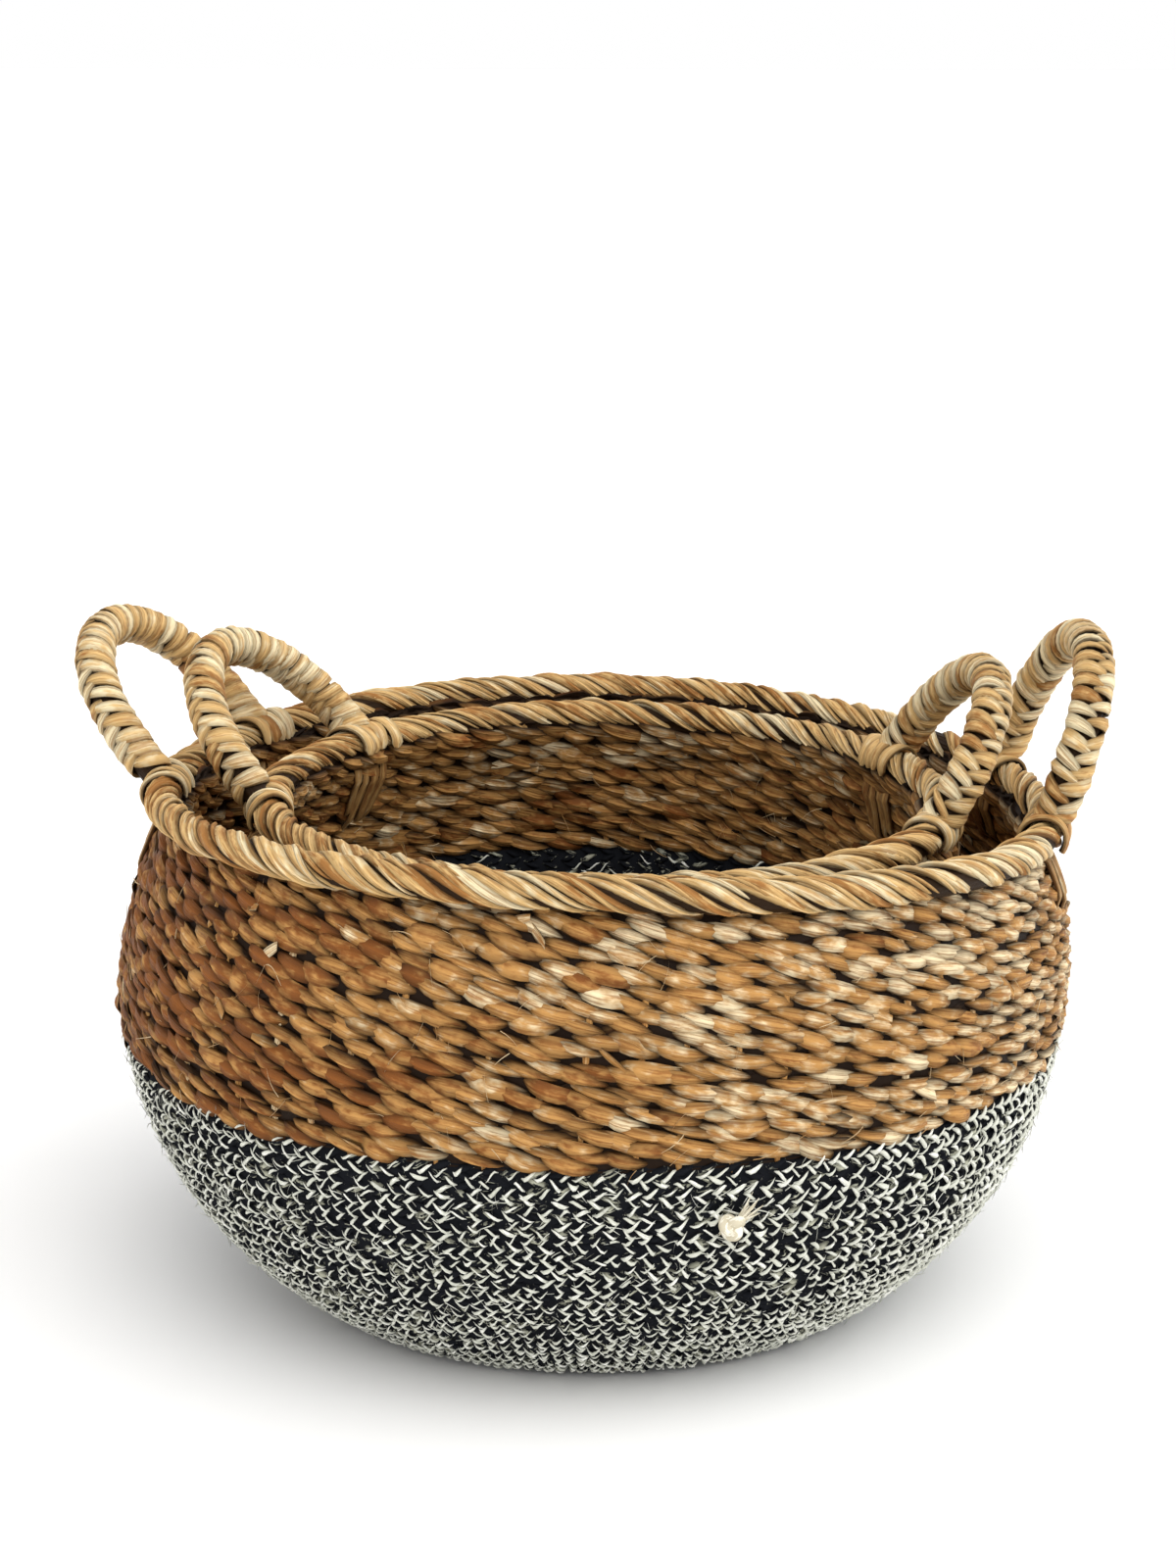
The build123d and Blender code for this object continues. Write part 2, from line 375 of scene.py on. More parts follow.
def grass_material(name, shade_colour, brown, golden, pale, paleness):
    """A seagrass finish in three colours of its own, and a near-black colour for painted shade."""
    made = bpy.data.materials.new(name)
    made.use_nodes = True
    tree = made.node_tree
    shader = tree.nodes["Principled BSDF"]
    shader.inputs["Specular IOR Level"].default_value = 0.12
    leaf = tree_node(tree, "ShaderNodeGroup")
    leaf.node_tree = grass_group
    for key, colour in (("ShadeColour", shade_colour), ("Brown", brown), ("Golden", golden), ("Pale", pale)):
        leaf.inputs[key].default_value = (*colour, 1)
    leaf.inputs["Paleness"].default_value = paleness
    bump = tree_node(tree, "ShaderNodeBump")
    bump.inputs["Strength"].default_value = 0.75
    bump.inputs["Distance"].default_value = 0.0011
    tree.links.new(leaf.outputs["Height"], bump.inputs["Height"])
    tree.links.new(bump.outputs[0], shader.inputs["Normal"])
    tree.links.new(leaf.outputs["Color"], shader.inputs["Base Color"])
    tree.links.new(leaf.outputs["Roughness"], shader.inputs["Roughness"])
    return made


wall_grass = grass_material(
    "wall_seagrass",
    shade_colour=(0.014, 0.006, 0.002),
    brown=(0.25, 0.085, 0.019),
    golden=(0.55, 0.285, 0.088),
    pale=(0.93, 0.76, 0.48),
    paleness=-0.02,
)
rim_grass = grass_material(
    "rim_seagrass",
    shade_colour=(0.022, 0.010, 0.003),
    brown=(0.40, 0.180, 0.050),
    golden=(0.76, 0.50, 0.21),
    pale=(0.95, 0.81, 0.52),
    paleness=0.08,
)


# --- Seagrass walls ------------------------------------------------------------------------------
# Two strands of seagrass twine round the stakes row by row, so both faces show a plump stitch over
# every stake: two folded leaves with their ends tucked under their neighbours. The other strand
# shows as a leaf that crosses behind, between two stitches.
GRASS_ROW = 0.0083
GRASS_COLUMN = 0.0092
STAKES = {"large": 68, "small": 54}
LEAF_SIDES = 6
LEAF_STEP = np.linspace(0, 1, 8)
LEAF_SWELL = np.maximum(np.sin(pi * LEAF_STEP**0.85), 0.03)
# Painted shade round a leaf's section: 0 on its front ridge, half on its edges, full on its back.
LEAF_SHADE = np.array((0.5, 0.0, 0.5, 1.0, 1.0, 1.0))


def smooth_values(rng, spread, place, stitches):
    """A random number for each stitch, taken smoothly from one stitch to the next round the row."""
    knots = rng.normal(0, spread, stitches)
    return np.interp(place % stitches, np.arange(stitches + 1), np.append(knots, knots[0]))


def leaf_rings(middle, side, face, width, depth, sides, folds=1.0, start=0.0):
    """The rings of a flat leaf: its section is an ellipse, width across and depth thick."""
    turn = start + tau * np.arange(sides) / sides
    rings = middle[:, None] + side[:, None] * (width[:, None] * np.cos(turn) * folds)[..., None]
    return rings + face[:, None] * (depth[:, None] * np.sin(turn) * folds)[..., None]


def path_length(middle):
    """The length along a line of points."""
    return np.append(0, np.cumsum(np.linalg.norm(np.diff(middle, axis=0), axis=1)))


def lay_leaf(strands, middle, side, face, width, depth, tone, crevice, rng):
    """Adds one folded leaf along a line of points, with a ridge on its face, and painted shade on its edges
    and back.
    """
    folds = 1 + rng.normal(0, 0.10, LEAF_SIDES)
    rings = leaf_rings(middle, side, face, width, depth, LEAF_SIDES, folds, pi / LEAF_SIDES)
    shade = np.clip(crevice[:, None] + LEAF_SHADE, 0, 1)
    strands.add(rings, path_length(middle), np.full(len(middle), tone), shade, closed=False)


def wall_shadow_band(strands, form, low, high, crevice, tone):
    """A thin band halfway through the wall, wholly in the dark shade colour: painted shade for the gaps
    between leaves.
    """
    around = tau * np.arange(136) / 136
    rises = np.linspace(low, high, 14)
    rings = []
    for out, levels in ((0.0016, rises), (-0.0016, rises[::-1])):
        for rise in levels:
            ground, outward, _ = wall_ground(form, np.full(136, rise), around)
            rings.append(ground + outward * out)
    rings = np.stack(rings, 1)
    strands.add(rings, around * form.rim_radius, np.full(136, tone), np.full(136, crevice), closed=True)


def row_wave(level, around):
    """How far the rows wander up and down, in metres: most near the join with the yarn."""
    wander = 0.0006 * np.sin(3 * around + level) + 0.0005 * np.sin(7 * around + 2 * level)
    step = np.clip(np.sin(4 * around + 1.0) * 6, -1, 1) * 0.0011 + 0.0009 * np.sin(9 * around)
    return wander + step * max(0, 1 - level / 3)


def wall_stitch(strands, form, rise, level, around, face, rng):
    """One stitch over a stake, on the outside of the wall (face 1) or the inside (face -1). Each
    leaf has its place along the row and up from its middle, its length and its slope."""
    slip = rng.normal(0, 0.0009)
    rise_up = rng.normal(0, 0.0004)
    # Painted light in the tone: outside stitches are paler towards the front right, where the key light
    # falls, and darker round the back left; inside stitches are all a little paler; and the rows grow paler
    # upwards, most in the top two.
    painted_light = 0.42 * max(cos(around + 0.5), -0.35) if face == 1 else 0.16
    painted_light += 0.14 if level >= form.rows - 2 else 0.05 * level / form.rows
    stitch_tone = 0.27 + painted_light + rng.normal(0, 0.10)
    crossing = (GRASS_COLUMN + rng.normal(0, 0.0015), rng.normal(0, 0.0008), 0.0185, -0.34)
    leaves = [(-0.0042, -0.0013, 0.0215, 0.27), (0.0042, 0.0013, 0.0250, 0.20), crossing]
    for number, (shift, up, length, slope) in enumerate(leaves):
        length *= 1 + rng.normal(0, 0.08)
        slope += rng.normal(0, 0.045)
        behind = number == 2
        run = shift + slip + rng.normal(0, 0.0006) + length * (LEAF_STEP - 0.5)
        lift = up + rise_up + rng.normal(0, 0.0003) - slope * length * (LEAF_STEP - 0.5)
        lift = lift + rng.normal(-0.0006, 0.0005) * np.sin(pi * LEAF_STEP)
        spots = around + face * run / form.rim_radius
        lift = lift + row_wave(level, spots)
        ground, outward, upward = wall_ground(form, rise + lift / form.arc, spots)
        reach = (0.0009 if behind else 0.0032) + rng.normal(0, 0.0003)
        reach = reach * LEAF_SWELL**0.55 - 0.0004
        roll = rng.normal(0.1, 0.25) + rng.normal(0, 0.3) * (LEAF_STEP - 0.5)
        side = upward * np.cos(roll)[:, None] + outward * (face * np.sin(roll))[:, None]
        front = outward * (face * np.cos(roll))[:, None] - upward * np.sin(roll)[:, None]
        middle = ground + outward * (face * reach)[:, None]
        width = 0.0034 * (1 + rng.normal(0, 0.13)) * LEAF_SWELL**0.5
        depth = (0.0013 if behind else 0.0022) * (1 + rng.normal(0, 0.12)) * LEAF_SWELL**0.4
        # Painted shade: the nearer a leaf lies to the middle of the wall, the darker it is painted.
        crevice = np.clip(1.25 - reach / 0.0023, 0, 1) ** 1.1
        # Painted shade: a leaf that crosses behind the stitches is painted 0.12 darker.
        tone = np.clip(stitch_tone - (0.12 if behind else 0) + rng.normal(0, 0.11), 0, 1)
        lay_leaf(strands, middle, side, front, width, depth, tone, crevice, rng)


def wall_flap(strands, form, rise, around, face, rng):
    """A flat leaf end that has worked loose and stands a little out of the wall."""
    step = np.linspace(0, 1, 6)
    heading = rng.normal(-0.5, 0.5)
    length = rng.uniform(0.008, 0.015)
    run = length * step * cos(heading)
    lift = length * step * sin(heading)
    spots = around + face * run / form.rim_radius
    ground, outward, upward = wall_ground(form, rise + lift / form.arc, spots)
    out = 0.0030 + rng.uniform(0.0012, 0.0024) * step
    middle = ground + outward * (face * out)[:, None]
    roll = np.full(6, rng.normal(0.2, 0.35))
    side = upward * np.cos(roll)[:, None] + outward * (face * np.sin(roll))[:, None]
    front = outward * (face * np.cos(roll))[:, None] - upward * np.sin(roll)[:, None]
    width = rng.uniform(0.0017, 0.0030) * np.array((0.5, 0.85, 1, 1, 0.95, 0.8))
    tone = rng.uniform(0.5, 0.95)
    lay_leaf(strands, middle, side, front, width, np.full(6, 0.00035), tone, np.zeros(6), rng)


def wall_fray(strands, form, height, around, face, size, rng):
    """A single stray fibre that curls away from the weave."""
    step = np.linspace(0, 1, 5)
    heading = rng.uniform(0, tau)
    length = rng.uniform(0.5, 1.0) * size
    bend = rng.normal(0, 0.35)
    run = length * (step * cos(heading) - bend * step**2 * sin(heading))
    lift = length * (step * sin(heading) + bend * step**2 * cos(heading))
    ground, outward, upward = wall_ground(
        form, arc_angle(form, height) + lift / form.arc, around + run / form.rim_radius
    )
    out = face * (0.0040 + rng.uniform(0.0005, 0.0030) * step)
    middle = ground + outward * out[:, None]
    width = rng.uniform(0.00012, 0.00028) * np.array((1, 1, 0.9, 0.7, 0.3))
    rings = leaf_rings(middle, upward, outward, width, width, 3)
    strands.add(rings, path_length(middle), np.full(5, rng.uniform(0.6, 1.0)), np.zeros(5), closed=False)


FLAPS = 26
FRAYS = 160

for form, pieces in ((LARGE, 3), (SMALL, 2)):
    rng = np.random.default_rng(11 if form is LARGE else 12)
    low, high = arc_angle(form, form.join + 0.001), arc_angle(form, form.top + 0.0062)
    form.rows = round((high - low) * form.arc / GRASS_ROW)
    rises = low + (np.arange(form.rows) + 0.5) * (high - low) / form.rows
    for group in np.array_split(np.arange(form.rows), pieces):
        strands = Strands()
        for level in group:
            for stake in range(STAKES[form.size]):
                around = tau * stake / STAKES[form.size]
                for face in (1, -1):
                    wall_stitch(strands, form, rises[level], level, around, face, rng)
        for _ in range(FLAPS):
            rise, face = rng.choice(rises[group]), rng.choice((1, 1, -1))
            wall_flap(strands, form, rise, rng.uniform(0, tau), face, rng)
        for _ in range(FRAYS):
            height = rng.uniform(form.join, form.top - 0.01)
            wall_fray(strands, form, height, rng.uniform(0, tau), rng.choice((1, -1)), 0.011, rng)
        if group[0] == 0:
            wall_shadow_band(strands, form, low - 0.01, high - 0.01, 1.0, 0.2)
        name = f"{form.size}_seagrass_rows_{group[0] + 1}_to_{group[-1] + 1}"
        piece = strands.mesh_object(name, form, True)
        nodes = [f"{form.size}_seagrass_weft_{face}" for face in ("outside", "inside")]
        finish_piece(piece, wall_grass, form.body, "seagrass", *nodes)


# --- Stakes -----------------------------------------------------------------------------------
# Upright rods of twisted grass, sealed in the wall, that show as short pegs between the rows.
for form in (LARGE, SMALL):
    rng = np.random.default_rng(21 if form is LARGE else 22)
    strands = Strands()
    rise = np.linspace(arc_angle(form, form.underside + WALL), arc_angle(form, form.top), 28)
    buried = np.clip((arc_angle(form, form.join) - rise) / 0.02 + 1, 0, 1)
    for stake in range(STAKES[form.size]):
        around = np.full(len(rise), tau * stake / STAKES[form.size] + rng.normal(0, 0.004))
        ground, outward, upward = wall_ground(form, rise, around)
        side = np.stack((-np.sin(around), np.cos(around), 0 * around), 1)
        width = (0.0018 - 0.0007 * buried) * (1 + rng.normal(0, 0.12, len(rise)))
        depth = (0.0031 - 0.0016 * buried) * (1 + rng.normal(0, 0.05, len(rise)))
        rings = leaf_rings(ground, side, outward, width, depth, 6)
        tone = np.full(len(rise), rng.uniform(0.35, 0.8))
        # Painted shade: the stakes are painted a little shaded all along, and fully shaded where the yarn
        # covers them.
        strands.add(rings, rise * form.arc, tone, np.maximum(0.15, buried), closed=False)
    piece = strands.mesh_object(f"{form.size}_stakes_group", form)
    finish_piece(piece, wall_grass, form.body, "stakes", f"{form.size}_stakes")


# --- Yarn finish ---------------------------------------------------------------------------------
# Marled yarn: near-black plies with a cream one, hairy, so that the two colours break up.
yarn_group = bpy.data.node_groups.new("marled_yarn", "ShaderNodeTree")
for key in ("Dark", "Cream"):
    yarn_group.interface.new_socket(key, in_out="INPUT", socket_type="NodeSocketColor")
yarn_group.interface.new_socket("Color", in_out="OUTPUT", socket_type="NodeSocketColor")
yarn_group.interface.new_socket("Height", in_out="OUTPUT", socket_type="NodeSocketFloat")
given = yarn_group.nodes.new("NodeGroupInput")
result = yarn_group.nodes.new("NodeGroupOutput")
tone = attribute(yarn_group, "tone")
hairs = strand_noise(yarn_group, 330.0, 9.0, tone, 3.0)
marl = strand_noise(yarn_group, 190.0, 2.6, tone, 2.0)
fleck = calculate(yarn_group, "MULTIPLY_ADD", hairs, 0.55, calculate(yarn_group, "MULTIPLY", marl, 0.5))
fleck = calculate(yarn_group, "ADD", fleck, calculate(yarn_group, "MULTIPLY_ADD", tone, 0.22, -0.11))
shade = remap(yarn_group, fleck, 0.60, 0.64)
yarn_colour = blend_colour(yarn_group, shade, given.outputs["Dark"], given.outputs["Cream"])
# Painted shade: the yarn colour is blended to the dark ply colour by each point's crevice shade value.
yarn_colour = blend_colour(yarn_group, attribute(yarn_group, "crevice"), yarn_colour, given.outputs["Dark"])
yarn_group.links.new(yarn_colour, result.inputs["Color"])
yarn_group.links.new(hairs, result.inputs["Height"])


def yarn_material(name, dark, cream):
    """A marled yarn finish in its two colours."""
    made = bpy.data.materials.new(name)
    made.use_nodes = True
    tree = made.node_tree
    shader = tree.nodes["Principled BSDF"]
    shader.inputs["Specular IOR Level"].default_value = 0.05
    shader.inputs["Roughness"].default_value = 0.85
    marled = tree_node(tree, "ShaderNodeGroup")
    marled.node_tree = yarn_group
    marled.inputs["Dark"].default_value = (*dark, 1)
    marled.inputs["Cream"].default_value = (*cream, 1)
    bump = tree_node(tree, "ShaderNodeBump")
    bump.inputs["Strength"].default_value = 0.6
    bump.inputs["Distance"].default_value = 0.0007
    tree.links.new(marled.outputs["Height"], bump.inputs["Height"])
    tree.links.new(bump.outputs[0], shader.inputs["Normal"])
    tree.links.new(marled.outputs["Color"], shader.inputs["Base Color"])
    return made


bowl_yarn = yarn_material("bowl_yarn", dark=(0.010, 0.011, 0.014), cream=(0.55, 0.55, 0.43))


# --- Yarn bowls ----------------------------------------------------------------------------------
# The lower walls and the flat bases are twined tightly from marled yarn. Each row slants the other
# way from the row below, so the stitches stand in upright zigzags. Cream fibres lie on the stitches
# of the walls, few of them on the small bowl's inside.
YARN_ROW = 0.0035
YARN_STITCHES = {"large": 136, "small": 108}
YARN_SAMPLES = 3
YARN_SIDES = 4
STROKE_SHARE = {"large": {1: 0.88}, "small": {1: 0.5, -1: 0.15}}
STROKE_GAP = 0.72
HAIRS = 500
BASE_STITCH = 0.022


def crevice_by_depth(rings, ground, outward, surface):
    """Painted shade for each point of a wall strand, by how far in it lies: 1 at the middle of the wall, 0 at
    its surface.
    """
    depth = np.abs(((rings - ground[:, None]) * outward[:, None]).sum(2)) / surface
    return 1 - np.clip(depth, 0, 1) ** 1.6


def yarn_row(strands, ground, outward, upward, stitches, slant, rng, length):
    """One twined row of two yarns, slanting one way or the other."""
    place = np.arange(len(ground)) / YARN_SAMPLES
    for yarn in (0, 1):
        phase = place + yarn
        index = np.floor(phase + 0.5).astype(int) % stitches
        swing = np.cos(pi * phase)
        out = 0.0021 * swing + smooth_values(rng, 0.00025, phase, stitches)
        up = slant * 0.0014 * np.sin(pi * phase) + smooth_values(rng, 0.0003, phase, stitches)
        swell = (0.72 + 0.28 * np.abs(swing)) * (1 + smooth_values(rng, 0.12, phase, stitches))
        middle = ground + outward * out[:, None] + upward * up[:, None]
        rings = leaf_rings(middle, outward, upward, 0.00165 * swell, 0.00185 * swell, YARN_SIDES)
        tone = np.clip(rng.normal(0.5, 0.3, stitches)[index], 0, 1)
        strands.add(rings, length, tone, crevice_by_depth(rings, ground, outward, 0.0036), closed=True)


def sliver(strands, ground, outward, upward, slant, size, rng):
    """A cream fibre that lies on one stitch, thin, curved and pointed at both ends."""
    step = np.linspace(-0.55, 0.55, len(ground))
    out = 0.0040 - 0.0012 * (2 * step) ** 2 + rng.normal(0, 0.0002)
    up = slant * (0.0017 + rng.normal(0, 0.0004)) * np.sin(pi * step) + rng.normal(0, 0.0004)
    up = up + rng.normal(0, 0.0006) * (2 * step) ** 2
    middle = ground + outward * out[:, None] + upward * up[:, None]
    width = size * np.array([0.25, 0.85, 1.0, 0.8, 0.2])
    rings = leaf_rings(middle, outward, upward, 0.6 * width, width, 4)
    strands.add(rings, step * 0.009, np.full(5, rng.uniform(0.3, 1.0)), np.zeros(5), closed=False)


cream_fibre = yarn_material("cream_fibre", dark=(0.70, 0.71, 0.62), cream=(0.97, 0.97, 0.90))

for form, pieces in ((LARGE, 3), (SMALL, 2)):
    rng = np.random.default_rng(31 if form is LARGE else 32)
    stitches = YARN_STITCHES[form.size]
    around = tau * np.arange(stitches * YARN_SAMPLES) / (stitches * YARN_SAMPLES)
    low, high = arc_angle(form, form.underside + 0.0057), arc_angle(form, form.join + 0.001)
    rows = round((high - low) * form.arc / YARN_ROW)
    rises = low + (np.arange(rows) + 0.2) * (high - low) / rows
    for group in np.array_split(np.arange(rows), pieces):
        strands, slivers = Strands(), Strands()
        for row in group:
            slant = 1 if row % 2 else -1
            wave = 0.0003 * np.sin(5 * around + rng.uniform(0, tau))
            if rows - row < 6:
                wave = wave + row_wave(0, around) * (1 - (rows - row) / 6)
            ground, outward, upward = wall_ground(form, rises[row] + wave / form.arc, around)
            length = around * form.rim_radius
            yarn_row(strands, ground, outward, upward, stitches, slant, rng, length)
            shift = rng.normal(0, 0.16)
            for face, share in STROKE_SHARE[form.size].items():
                places = np.arange(0, stitches, STROKE_GAP)
                for place in places[rng.random(len(places)) < share] + shift:
                    reach = rng.uniform(0.22, 0.40)
                    near = tau * (place + rng.normal(0, 0.05) + np.linspace(-reach, reach, 5)) / stitches
                    spot, out, up = wall_ground(form, np.full(5, rises[row]), near)
                    # Painted light: the cream fibres are made larger towards the front right, where the key
                    # light falls, so the yarn shows paler there.
                    size = rng.uniform(0.00045, 0.00105) * (1.1 + 0.35 * cos(near[2] + 0.5))
                    sliver(slivers, spot, out * face, up, slant, size, rng)
        if group[0] == 0:
            wall_shadow_band(strands, form, low, high, 1.0, 0.0)
        piece = strands.mesh_object(f"{form.size}_yarn_rows_{group[0] + 1}_to_{group[-1] + 1}", form)
        nodes = [f"{form.size}_yarn_weft_{face}" for face in ("outside", "inside")]
        finish_piece(piece, bowl_yarn, form.body, "yarn", *nodes)
        for _ in range(HAIRS):
            height = rng.uniform(form.underside + 0.014, form.join)
            wall_fray(slivers, form, height, rng.uniform(0, tau), 1, 0.007, rng)
        piece = slivers.mesh_object(f"{form.size}_cream_fibres_{group[0] + 1}_to_{group[-1] + 1}", form)
        finish_piece(piece, cream_fibre, form.body, "yarn")

    strands = Strands()
    edge = form.centre + form.arc * cos(low)
    for ring in range(1, int(edge / YARN_ROW)):
        radius = edge - ring * YARN_ROW
        stitches = max(6, 2 * round(tau * radius / BASE_STITCH))
        around = tau * np.arange(stitches * YARN_SAMPLES) / (stitches * YARN_SAMPLES)
        level = np.full(len(around), form.underside + 0.0048)
        ground = np.stack((radius * np.cos(around), radius * np.sin(around), level), 1)
        outward = np.broadcast_to(np.array((0.0, 0.0, -1.0)), ground.shape)
        upward = np.stack((np.cos(around), np.sin(around), 0 * around), 1)
        slant = 1 if ring % 2 else -1
        yarn_row(strands, ground, outward, upward, stitches, slant, rng, around * radius)
    piece = strands.mesh_object(f"{form.size}_base_rows", form)
    finish_piece(piece, bowl_yarn, form.body, "yarn", f"{form.size}_woven_base")


# --- Rim ropes ------------------------------------------------------------------------------------
# The stake ends are folded over and bound into a rope with a long lay, of pale whole leaves.
ROPE_TURN = 0.066
ROPE_PITCH = 0.0098
ROPE_STEP = np.linspace(0, 1, 24)
ROPE_SWELL = np.maximum(np.sin(pi * ROPE_STEP), 0.02)

for form in (LARGE, SMALL):
    rng = np.random.default_rng(41 if form is LARGE else 42)
    strands = Strands()
    leaves = round(tau * form.rim_radius / ROPE_PITCH)
    for leaf in range(2 * leaves):
        thin = 1.0 if leaf < leaves else rng.uniform(0.35, 0.6)
        start = tau * (leaf + rng.normal(0, 0.10)) / leaves + (0 if leaf < leaves else rng.uniform(0, 0.05))
        turned = 0.98 if leaf < leaves else rng.uniform(0.5, 0.8)
        lay = radians(-245) + rng.normal(0, 0.10) + tau * turned * ROPE_STEP
        lay = lay + (0 if leaf < leaves else rng.uniform(0, 1.2))
        around = start + turned * ROPE_STEP * ROPE_TURN * rng.normal(1, 0.06) / form.rim_radius
        outward = np.stack((np.cos(around), np.sin(around), 0 * around), 1)
        downward = np.broadcast_to(np.array((0.0, 0.0, -1.0)), outward.shape)
        spoke = outward * np.cos(lay)[:, None] + downward * np.sin(lay)[:, None]
        reach = (0.0053 if leaf < leaves else 0.0066) + rng.normal(0, 0.00025)
        reach = reach * (0.72 + 0.28 * ROPE_SWELL**0.5) + 0.0003 * np.sin(lay * 2 + rng.uniform(0, tau))
        middle = outward * form.rim_radius + np.array((0, 0, form.rim_height)) + spoke * reach[:, None]
        ahead = np.gradient(middle, axis=0)
        ahead /= np.linalg.norm(ahead, axis=1)[:, None]
        side = np.cross(ahead, spoke)
        side /= np.linalg.norm(side, axis=1)[:, None]
        width = 0.00270 * thin * (1 + rng.normal(0, 0.10)) * ROPE_SWELL**0.5
        depth = 0.0021 * thin**0.5 * (1 + rng.normal(0, 0.12)) * ROPE_SWELL**0.4
        # Painted light: over a random tone, the rope's leaves are painted paler towards the front right,
        # where the key light falls.
        tone = np.clip(0.42 + 0.12 * cos(start + 0.5) + rng.normal(0, 0.24), 0, 1)
        lay_leaf(strands, middle, side, np.cross(side, ahead), width, depth, tone, np.zeros(24), rng)
    # The core under the rope's leaves is painted wholly in the shade colour: painted shade between the
    # leaves.
    around = tau * np.arange(120) / 120
    outward = np.stack((np.cos(around), np.sin(around), 0 * around), 1)
    upward = np.broadcast_to(np.array((0.0, 0.0, 1.0)), outward.shape)
    ring = outward * form.rim_radius + np.array((0, 0, form.rim_height))
    core = leaf_rings(ring, outward, upward, np.full(120, 0.0056), np.full(120, 0.0056), 10)
    strands.add(core, around * form.rim_radius, np.full(120, 0.2), np.full(120, 1.0), closed=True)
    piece = strands.mesh_object(f"{form.size}_rim_rope_leaves", form, True)
    finish_piece(piece, rim_grass, form.body, "straw", f"{form.size}_rim_rope")


# --- Handles --------------------------------------------------------------------------------------
# Each handle is a bundle bent into a loop and wound with flat leaves, crossing a little from turn
# to turn. Its feet are lashed over the rim rope with leaves that run on down the wall.
HANDLES = {
    "large_left": {"form": LARGE, "middle": 170.0, "half": 16.5, "height": 0.073, "lean": 39.0},
    "large_right": {"form": LARGE, "middle": 10.0, "half": 16.5, "height": 0.073, "lean": 20.0},
    "small_left": {"form": SMALL, "middle": 170.0, "half": 24.0, "height": 0.068, "lean": 40.0},
    "small_right": {"form": SMALL, "middle": 10.0, "half": 24.0, "height": 0.060, "lean": 32.0},
}
WRAP_PITCH = 0.0064


def loop_frame(handle):
    """A handle's loop: its chord's middle, and the directions along the chord, up it and out."""
    form = handle["form"]
    middle, lean, half = (radians(handle[key]) for key in ("middle", "lean", "half"))
    outward = np.array((cos(middle), sin(middle), 0))
    chord = np.array((-sin(middle), cos(middle), 0))
    rise = outward * sin(lean) + np.array((0, 0, cos(lean)))
    start = outward * form.rim_radius * cos(half) + np.array((0, 0, form.rim_height))
    return start, chord, rise, np.cross(chord, rise), form.rim_radius * sin(half)


def loop_point(handle, length):
    """The point, direction and outer side of a handle's loop at that length from its first foot."""
    start, chord, rise, _, half = loop_frame(handle)
    leg = handle["height"] - half
    arc = pi * half
    if length < leg:
        return start - chord * half + rise * length, rise, -chord
    if length > leg + arc:
        down = 2 * leg + arc - length
        return start + chord * half + rise * down, -rise, chord
    angle = pi - (length - leg) / half
    side = chord * cos(angle) + rise * sin(angle)
    along = chord * sin(angle) - rise * cos(angle)
    return start + rise * leg + side * half, along, side


def wind_handle(handle, rng):
    """The winding: flat leaves half round the loop from either side, that cross in a ridge."""
    out, half = loop_frame(handle)[3:]
    total = 2 * (handle["height"] - half) + pi * half
    strands = Strands()
    step = np.linspace(-0.5, 0.5, 13)
    swell = np.maximum(np.cos(pi * step), 0.05)
    spots = np.arange(0.0085, total - 0.0085, WRAP_PITCH / 2)
    for number, length in enumerate(spots):
        family = 1 if number % 2 else -1
        sweep = radians(rng.uniform(225, 255))
        turn = family * pi / 2 + sweep * step + rng.normal(0, 0.15)
        slip = family * (0.0105 + rng.normal(0, 0.0022)) * step
        points, ways = [], []
        for angle, along_by in zip(turn, slip):
            point, along, side = loop_point(handle, length + along_by)
            points.append(point)
            ways.append((side * cos(angle) + out * sin(angle), along))
        spoke = np.array([way[0] for way in ways])
        along = np.array([way[1] for way in ways])
        radius = 0.0062 + rng.uniform(0, 0.0005) + 0.0009 * swell**0.5
        middle = np.array(points) + spoke * radius[:, None]
        ahead = np.gradient(middle, axis=0)
        ahead /= np.linalg.norm(ahead, axis=1)[:, None]
        side = np.cross(ahead, spoke)
        width = 0.0036 * (1 + rng.normal(0, 0.12)) * swell**0.4
        depth = 0.0014 * (1 + rng.normal(0, 0.12)) * swell**0.3
        tone = np.clip(rng.normal(0.52, 0.26), 0, 1)
        # Painted shade at each leaf's ends, where they tuck under their neighbours.
        lay_leaf(strands, middle, side, spoke, width, depth, tone, 0.5 * (1 - swell) ** 2, rng)
    # The bundle under the winding is painted wholly in the shade colour: painted shade in the gaps between
    # the leaves.
    lengths = np.linspace(0.004, total - 0.004, 40)
    points, sides = zip(*[loop_point(handle, length)[::2] for length in lengths])
    flat = np.broadcast_to(out, (40, 3))
    core = leaf_rings(np.array(points), np.array(sides), flat, np.full(40, 0.0060), np.full(40, 0.0060), 10)
    strands.add(core, path_length(np.array(points)), np.full(40, 0.2), np.full(40, 1.0), closed=False)
    return strands


for name, handle in HANDLES.items():
    rng = np.random.default_rng(50 + list(HANDLES).index(name))
    piece = wind_handle(handle, rng).mesh_object(f"{name}_handle_winding", handle["form"], True)
    finish_piece(piece, rim_grass, f"{name}_handle", "straw", f"{name}_handle_wrap", f"{name}_handle_core")


# --- Lashings -------------------------------------------------------------------------------------
# Each handle foot is bound on the rim rope with leaves side by side. They turn on the rope with
# the handle, and their tails run down the wall on both faces and tuck in between two rows.
LASHING_LEAVES = 4
LASHING_PITCH = 0.0064
LASHING_REACH = 0.0086
TAIL_DEPTH = 0.034

